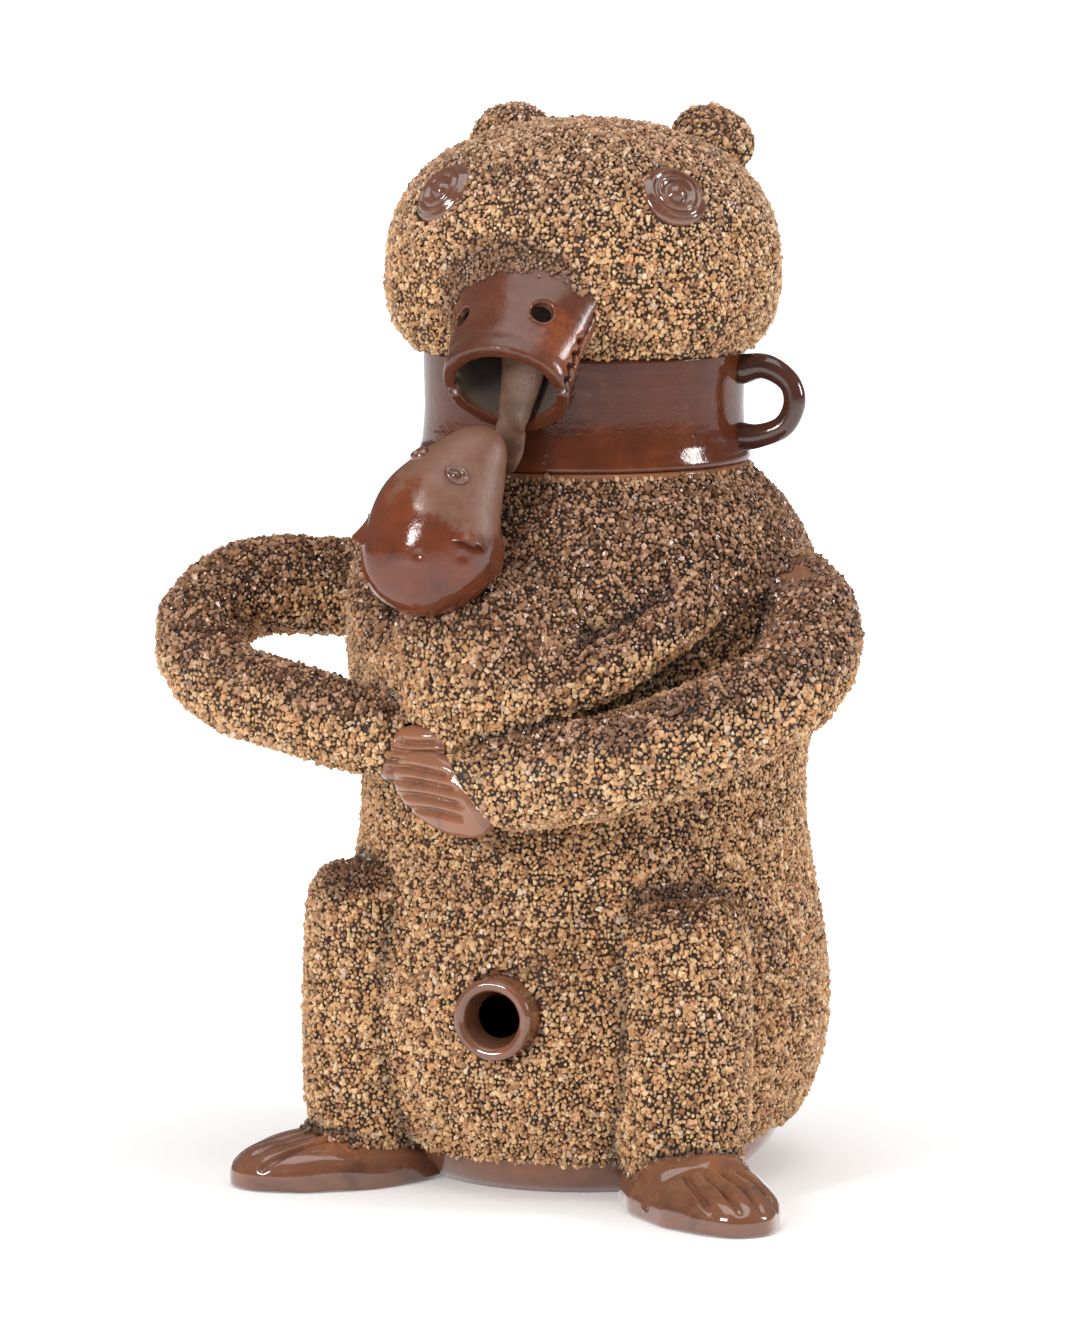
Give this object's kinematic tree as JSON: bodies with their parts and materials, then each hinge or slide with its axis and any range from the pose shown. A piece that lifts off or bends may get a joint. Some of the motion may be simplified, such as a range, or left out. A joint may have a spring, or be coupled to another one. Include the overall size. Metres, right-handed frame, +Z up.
{
  "type": "bear jug",
  "caption": "Saltglazed stoneware jug shaped as a seated bear hugging a dog, with a crumb-coated skin, a bung hole, and a lift-off head that turns over to be a handled cup.",
  "frame": {"origin": "middle of the pot's flat underside, on the surface that the jug stands on", "axes": "+Z up the pot's axis, -Y out of the bear's front and along the bung hole, +X to the bear's left"},
  "size_m": [0.286, 0.229, 0.4205],
  "materials": {
    "grog_coat": "rough crumbs of fired clay under a thin salt glaze",
    "brown_glaze": "glossy iron-brown salt glaze",
    "dark_glaze": "glossy dark brown salt glaze",
    "matt_glaze": "dull grey-brown, hardly glazed"
  },
  "bodies": {
    "jug": {"thrown_pot": "grog_coat", "right_arm": "grog_coat", "left_arm": "grog_coat", "right_leg": "grog_coat", "left_leg": "grog_coat", "dog_body": "grog_coat", "dog_jaw": "grog_coat", "dog_right_leg": "grog_coat", "dog_left_leg": "grog_coat", "bung_collar": "brown_glaze", "right_paw": "brown_glaze", "left_paw": "brown_glaze", "right_foot": "brown_glaze", "left_foot": "brown_glaze", "dog_head": "brown_glaze", "dog_right_ear": "brown_glaze", "dog_left_ear": "brown_glaze", "dog_right_eye": "brown_glaze", "dog_left_eye": "brown_glaze"},
    "head_cover": {"head_dome": "grog_coat", "cup_wall": "brown_glaze", "cup_handle": "dark_glaze", "right_ear": "grog_coat", "left_ear": "grog_coat", "right_eye": "brown_glaze", "left_eye": "brown_glaze", "upper_jaw": "brown_glaze", "lower_jaw": "brown_glaze", "tongue": "matt_glaze"}
  },
  "joints": [
    {"name": "head_lift", "type": "slide", "parent": "jug", "child": "head_cover", "axis": [0, 0, 1], "range_m": [0, 0.12]}
  ]
}
